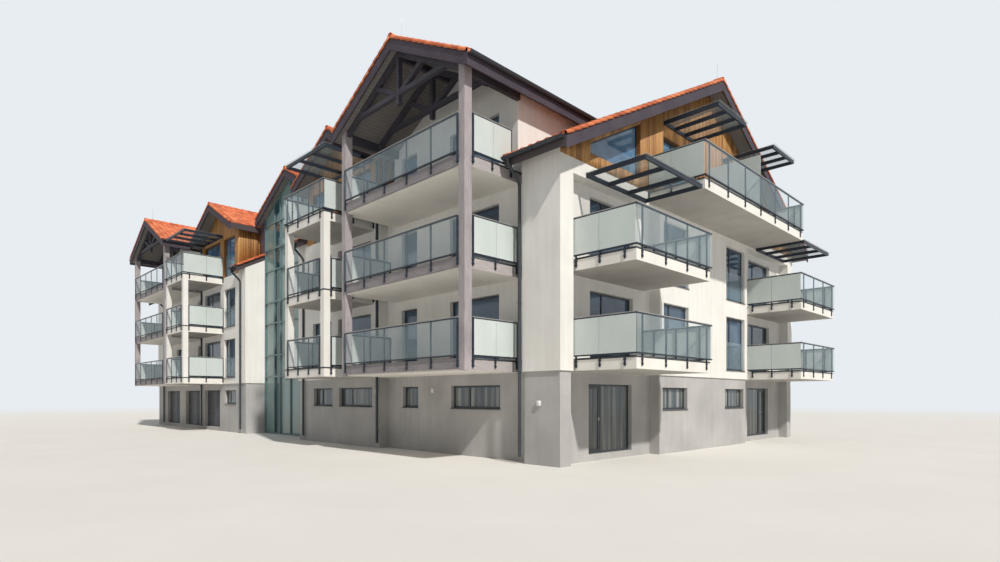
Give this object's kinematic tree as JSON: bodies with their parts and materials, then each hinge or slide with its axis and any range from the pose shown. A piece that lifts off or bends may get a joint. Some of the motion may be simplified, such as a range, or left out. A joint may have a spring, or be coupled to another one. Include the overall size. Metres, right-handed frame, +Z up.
{
  "type": "apartment block",
  "caption": "Modern apartment block with white render, grey ground storey, tiled roofs with front gables, timber porticos, a glazed stair tower and glass balcony railings.",
  "frame": {"origin": "middle of the whole block's underside", "axes": "+X along the front to the end with the balconies, +Y from the front to the rear, +Z up"},
  "size_m": [39.1, 20.29, 14.4191],
  "materials": {
    "concrete": "smooth concrete",
    "grey_render": "fine grey render",
    "white_render": "fine white render",
    "wood_cladding": "oiled boards",
    "dark_panel": "matt dark sheet",
    "teal_steel": "satin paint",
    "clay_tiles": "unglazed clay tiles",
    "grey_timber": "grey stain",
    "dark_sheet_metal": "satin paint",
    "zinc": "weathered zinc",
    "anthracite_steel": "satin paint",
    "clear_glass": "clear safety glass",
    "frosted_glass": "frosted safety glass",
    "window_profile": "satin foil",
    "dark_glass": "insulating glass",
    "door_leaf": "satin foil around glass"
  },
  "bodies": {
    "building": {"ground_slab": "concrete", "first_floor_slab": "concrete", "second_floor_slab": "concrete", "attic_floor_slab": "concrete", "front_plinth": "grey_render", "right_plinth_piers": "grey_render", "right_plinth_lintels": "grey_render", "left_plinth": "grey_render", "rear_plinth": "grey_render", "front_wall": "white_render", "right_end_wall": "white_render", "left_end_wall": "white_render", "rear_wall": "white_render", "portico_gable_walls": "white_render", "stack_posts": "white_render", "portico_slabs": "white_render", "stack_slabs": "white_render", "end_balcony_slabs": "white_render", "dormer_gable_walls": "wood_cladding", "end_gable_walls": "wood_cladding", "stair_tower_panels": "dark_panel", "stair_tower_frame": "teal_steel", "main_roof_front": "clay_tiles", "main_roof_rear": "clay_tiles", "portico_roofs": "clay_tiles", "cross_gable_roofs": "clay_tiles", "roof_boards": "grey_timber", "portico_posts": "grey_timber", "portico_trusses": "grey_timber", "portico_edge_boards": "grey_timber", "gutters_and_downpipes": "dark_sheet_metal", "garage_doors": "dark_sheet_metal", "lightning_rods": "zinc", "front_railings": "anthracite_steel", "side_railings": "anthracite_steel", "canopy_frames": "anthracite_steel", "clear_rail_glass": "clear_glass", "window_guards": "clear_glass", "canopy_glass": "clear_glass", "frosted_rail_glass": "frosted_glass", "window_frames": "window_profile", "terrace_door_frames": "window_profile", "window_glass": "dark_glass"},
    "near_door": {"near_terrace_door": "door_leaf"},
    "far_door": {"far_terrace_door": "door_leaf"}
  },
  "joints": [
    {"name": "near_terrace_door_hinge", "type": "hinge", "parent": "building", "child": "near_door", "pos_m": [16.886, -6.105, 1.2], "axis": [0, 0, 1], "range_deg": [0, 90]},
    {"name": "far_terrace_door_hinge", "type": "hinge", "parent": "building", "child": "far_door", "pos_m": [16.886, 7.625, 1.2], "axis": [0, 0, -1], "range_deg": [0, 90]}
  ]
}
